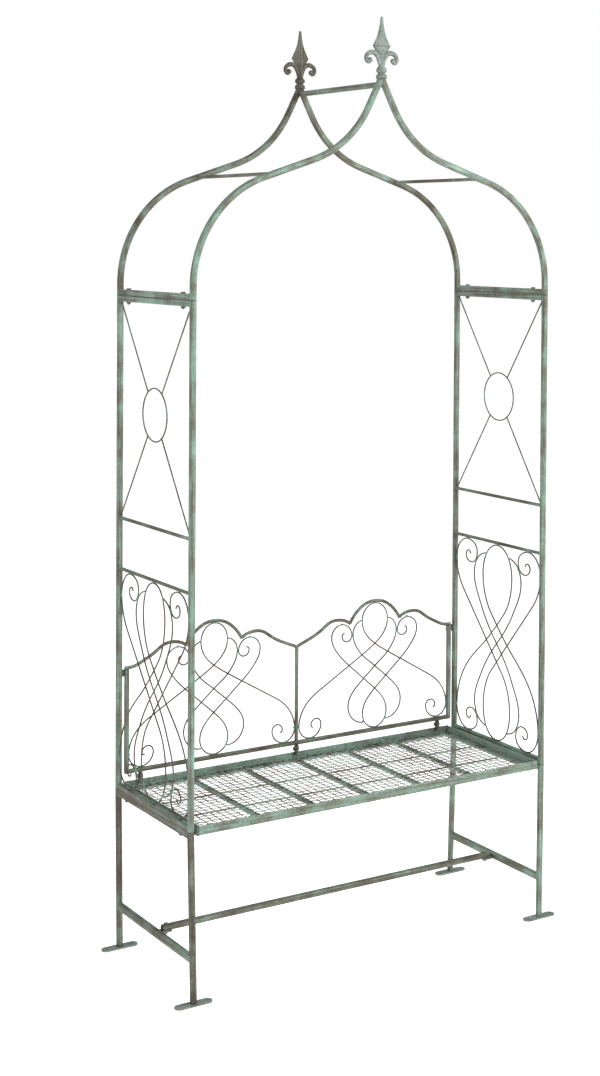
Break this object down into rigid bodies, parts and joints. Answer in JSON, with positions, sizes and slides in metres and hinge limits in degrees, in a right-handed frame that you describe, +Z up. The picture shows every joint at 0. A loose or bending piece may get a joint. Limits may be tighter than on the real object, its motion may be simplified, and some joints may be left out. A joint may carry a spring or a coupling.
{
  "type": "trellis arch bench",
  "caption": "Arched steel garden bench: scrolled side panels and backrest, welded mesh seat, and an ogee trellis arch joined by rails and topped with cast finials.",
  "frame": {"origin": "on the ground under the middle of the bench", "axes": "+X to the right of someone facing the front, +Y from the front to the back, +Z up"},
  "size_m": [1.1484, 0.433, 2.3876],
  "materials": {
    "frame": "weathered verdigris green paint over brown, matt",
    "feet": "weathered verdigris green paint over brown, matt",
    "rods": "weathered verdigris green paint over brown, matt",
    "scroll_wire": "brown with traces of verdigris green, matt",
    "backrest": "brown with verdigris green, matt",
    "seat_frame": "verdigris green with rust brown patches, matt",
    "seat_mesh": "rust brown and verdigris green wire, matt",
    "brackets": "dark brown, matt",
    "finials": "dark brown cast metal with verdigris in its hollows",
    "fasteners": "dark bronzed steel, satin"
  },
  "bodies": {
    "root": {"leg_front_left": "frame", "leg_front_right": "frame", "leg_back_left": "frame", "leg_back_right": "frame", "leg_top_rail_left": "frame", "leg_top_rail_right": "frame", "leg_cross_rail_left": "frame", "leg_cross_rail_right": "frame", "stretcher": "frame", "side_post_front_left": "frame", "side_post_front_right": "frame", "side_post_back_left": "frame", "side_post_back_right": "frame", "side_bottom_rail_left": "frame", "side_bottom_rail_right": "frame", "side_top_rail_left": "frame", "side_top_rail_right": "frame", "arch_tube_front_left": "frame", "arch_tube_front_right": "frame", "arch_tube_back_left": "frame", "arch_tube_back_right": "frame", "arch_base_rail_left": "frame", "arch_base_rail_right": "frame", "ridge_bar": "frame", "foot_plates": "feet", "side_rods": "rods", "arch_rods": "rods", "side_rings": "rods", "side_braces_left": "rods", "side_braces_right": "rods", "side_scroll_left": "scroll_wire", "side_scroll_right": "scroll_wire", "back_scroll_left": "scroll_wire", "back_scroll_right": "scroll_wire", "back_uprights": "backrest", "back_bottom_rail": "backrest", "back_crest_left": "backrest", "back_crest_right": "backrest", "back_upright_middle": "backrest", "seat_front_rail": "seat_frame", "seat_back_rail": "seat_frame", "seat_end_rail_left": "seat_frame", "seat_end_rail_right": "seat_frame", "seat_slats": "seat_frame", "seat_rods": "seat_frame", "seat_mesh": "seat_mesh", "seat_brackets": "brackets", "stretcher_tabs": "brackets", "back_hinge_tabs_lower": "brackets", "back_hinge_tabs_upper": "brackets", "back_corner_plates": "brackets", "finial_front": "finials", "finial_back": "finials", "frame_bolts": "fasteners", "seat_bolts": "fasteners", "hinge_pins": "fasteners", "stretcher_bolts": "fasteners", "back_corner_screws": "fasteners", "hex_nuts": "fasteners"}
  },
  "joints": []
}
